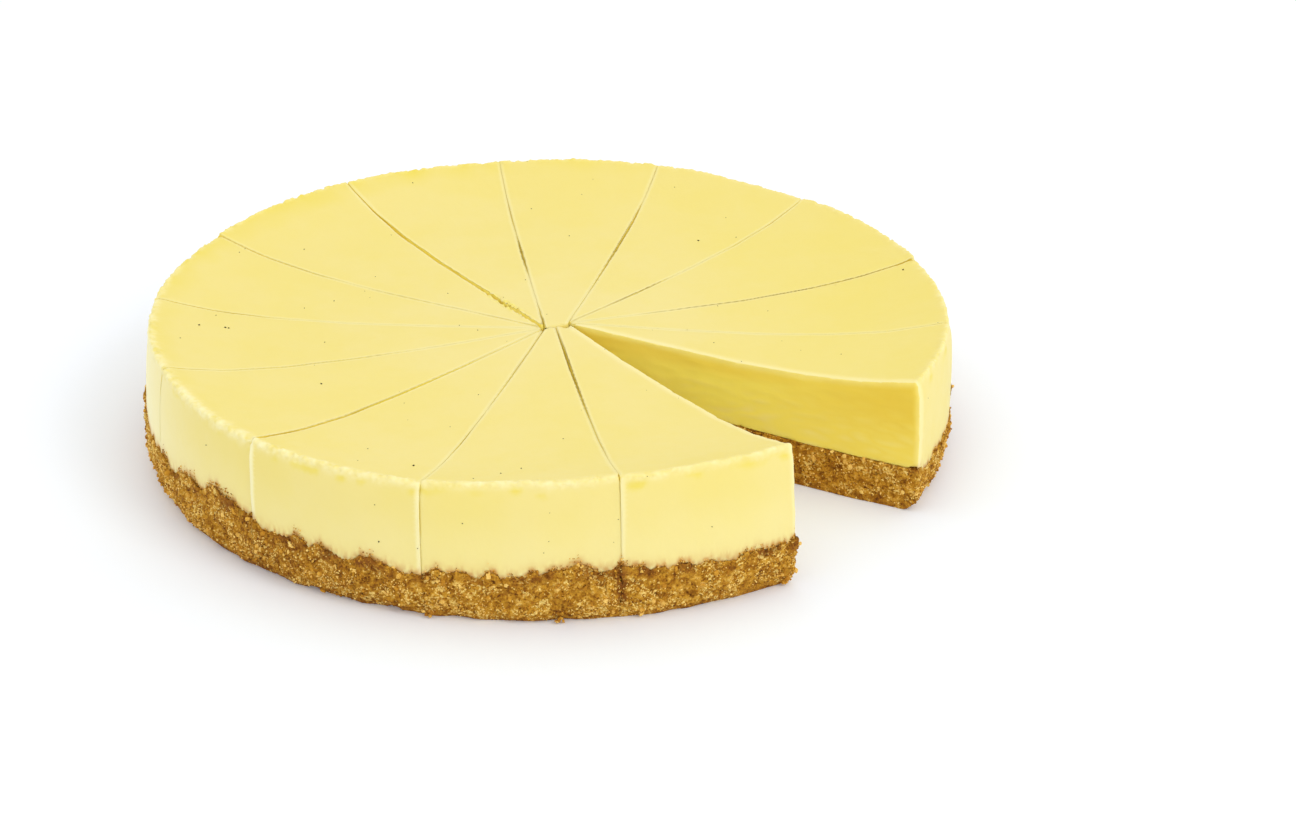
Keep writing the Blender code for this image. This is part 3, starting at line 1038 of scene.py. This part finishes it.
def strew(name, shapes, surface, chance, kind, material, draw, clumps=()):
    """Crumbs of a kind pressed into a surface, more of them where the chance is higher. The
    clumps have their own angles, heights and sizes."""
    count, (least, most), tones = kind
    places, normals = surface
    chosen = draw.choice(len(places), size=count, p=chance / chance.sum())
    across = MM * (least + (most - least) * draw.random(count) ** 2)
    sunk = places[chosen] + normals[chosen] * (across * draw.uniform(-0.25, 0.2, count))[:, None]
    sunk += 0.12 * MM * draw.normal(size=sunk.shape)
    for angle, height, size in clumps:
        spot = on_cake(angle, RIM_REACH / MM - CLUMP_INSET, height)
        spread = CLUMP_SPREAD * size * MM * draw.normal(size=(CLUMP_CRUMBS, 3))
        sunk = np.vstack([sunk, spot + spread])
        across = np.append(across, size * MM * draw.uniform(*CLUMP_SIZES, CLUMP_CRUMBS))
    sunk[:, 2] = np.maximum(sunk[:, 2], 0.62 * across)
    shades = draw.uniform(*tones, len(sunk))
    scatter(name, shapes, sunk, across, shades, material, "crumb", draw)


def strew_crumbs(base, foot, to_seam, material):
    """Loose crumbs pressed into the base wherever it shows, and up over the seam."""
    draw = np.random.default_rng(CRUMB_SEED)
    fine = [crumb_shape(number, 1) for number in range(6)]
    coarse = [crumb_shape(number, 2) for number in range(6, 12)]
    places = base[0]
    heaps = ramp(ripple(places, 6 * MM, 31.0) + 0.5 * ripple(places, 2 * MM, 32.0), -0.1, 0.4)
    below_seam = 1 - 0.7 * ramp(places[:, 2], 11 * MM, 14 * MM)
    above_foot = 0.25 + 0.75 * ramp(places[:, 2], 0.5 * MM, 3 * MM)
    # Pale crumbs stand partly for lit crumb tops, as painted highlights, and up to twice as many
    # lie at the far left as painted light
    light = (0.05 + heaps) * below_seam * above_foot * (1 + near_angle(places, 192, 18))
    strew("pale_crumbs", fine, base, light, PALE_CRUMBS, material, draw)
    strew("brown_crumbs", fine, base, 0.3 + above_foot, BROWN_CRUMBS, material, draw)
    rough = (0.2 + heaps) * above_foot
    strew("coarse_crumbs", coarse, base, rough, COARSE_CRUMBS, material, draw, FOOT_CLUMPS)
    heap = np.maximum(climb(foot[0]), 0)
    fringe = np.exp(-((to_seam / (0.35 * MM + 1.45 * heap)) ** 2)) * (0.2 + heap / MM)
    strew("seam_crumbs", fine, foot, fringe, SEAM_CRUMBS, material, draw)


def scatter_specks(top, wall, material):
    """Vanilla specks, each half sunk in the surface nearest to its spot."""
    draw = np.random.default_rng(SPECK_SEED)
    spots = [(top[0], on_cake(angle, reach, 38), size) for angle, reach, size in TOP_SPECKS]
    rim = RIM_REACH / MM
    spots += [(wall[0], on_cake(angle, rim, height), size) for angle, height, size in WALL_SPECKS]
    for number in range(STRAY_SPECKS):
        points = (top, wall)[number % 3 == 0][0]
        spots.append((points, points[draw.integers(len(points))], draw.uniform(*STRAY_SIZES)))
    nearest = [points[np.linalg.norm(points - spot, axis=1).argmin()] for points, spot, _ in spots]
    sizes = SPECK_GROWTH * MM * np.array([size for _, _, size in spots])
    shapes = [crumb_shape(number, 1) for number in range(20, 23)]
    tones = np.zeros(len(spots))
    scatter("vanilla_specks", shapes, np.array(nearest), sizes, tones, material, "filling", draw)


def add_camera():
    """Stands in front of the cake and looks down on it."""
    camera = bpy.data.objects.new("camera", bpy.data.cameras.new("camera"))
    bpy.context.scene.collection.objects.link(camera)
    camera.data.lens = LENS
    camera.data.sensor_width = SENSOR_WIDTH
    camera.location = CAMERA_PLACE
    camera.rotation_euler = (math.radians(90 - CAMERA_TILT), 0.0, 0.0)
    bpy.context.scene.camera = camera


def add_floor():
    """A pale floor that glows a little, so that it stays white under the cake's shadow."""
    bpy.ops.mesh.primitive_plane_add(size=FLOOR_SIZE, location=(0.0, 0.0, FLOOR_LEVEL))
    floor = bpy.context.object
    floor.name = "floor"
    finish = Finish(
        "pale floor",
        Roughness=0.9,
        Base_Color=FLOOR_COLOUR,
        Emission_Color=FLOOR_GLOW,
        Emission_Strength=GLOW_STRENGTH,
    )
    floor.data.materials.append(finish.material)


def add_light(name, energy, size, position):
    """A square lamp that points at the cake."""
    light = bpy.data.lights.new(name, "AREA")
    light.energy = energy
    light.size = size
    lamp = bpy.data.objects.new(name, light)
    bpy.context.scene.collection.objects.link(lamp)
    lamp.location = position
    lamp.rotation_euler = (-Vector(position)).to_track_quat("-Z", "Y").to_euler()


def light_studio():
    """An even white sky and a soft window at the front right."""
    world = bpy.data.worlds.new("studio")
    bpy.context.scene.world = world
    world.use_nodes = True
    background = world.node_tree.nodes["Background"]
    background.inputs["Color"].default_value = (1.0, 1.0, 1.0, 1.0)
    background.inputs["Strength"].default_value = SKY_STRENGTH
    add_light("window", WINDOW_POWER, WINDOW_SIZE, WINDOW_PLACE)
    bpy.context.scene.view_settings.view_transform = "Standard"


def joined(parts):
    """The slices' arrays of places and normals, as one pair."""
    return [np.concatenate(arrays) for arrays in zip(*parts)]


def build():
    """The studio, every slice's two layers, and then what lies on them."""
    add_camera()
    light_studio()
    add_floor()
    filling = baked_filling()
    crumb = biscuit_crumb()
    widths = cut_widths()
    tops, walls, feet, seams, bases = [], [], [], [], []
    for number in range(1, SLICES + 1):
        top, wall, foot, to_seam = dress_filling(number, widths, filling)
        tops.append(top)
        walls.append(wall)
        feet.append(foot)
        seams.append(to_seam)
        bases.append(dress_base(number, widths, crumb))
    strew_crumbs(joined(bases), joined(feet), np.concatenate(seams), loose_crumb())
    scatter_specks(joined(tops), joined(walls), vanilla_speck())


build()
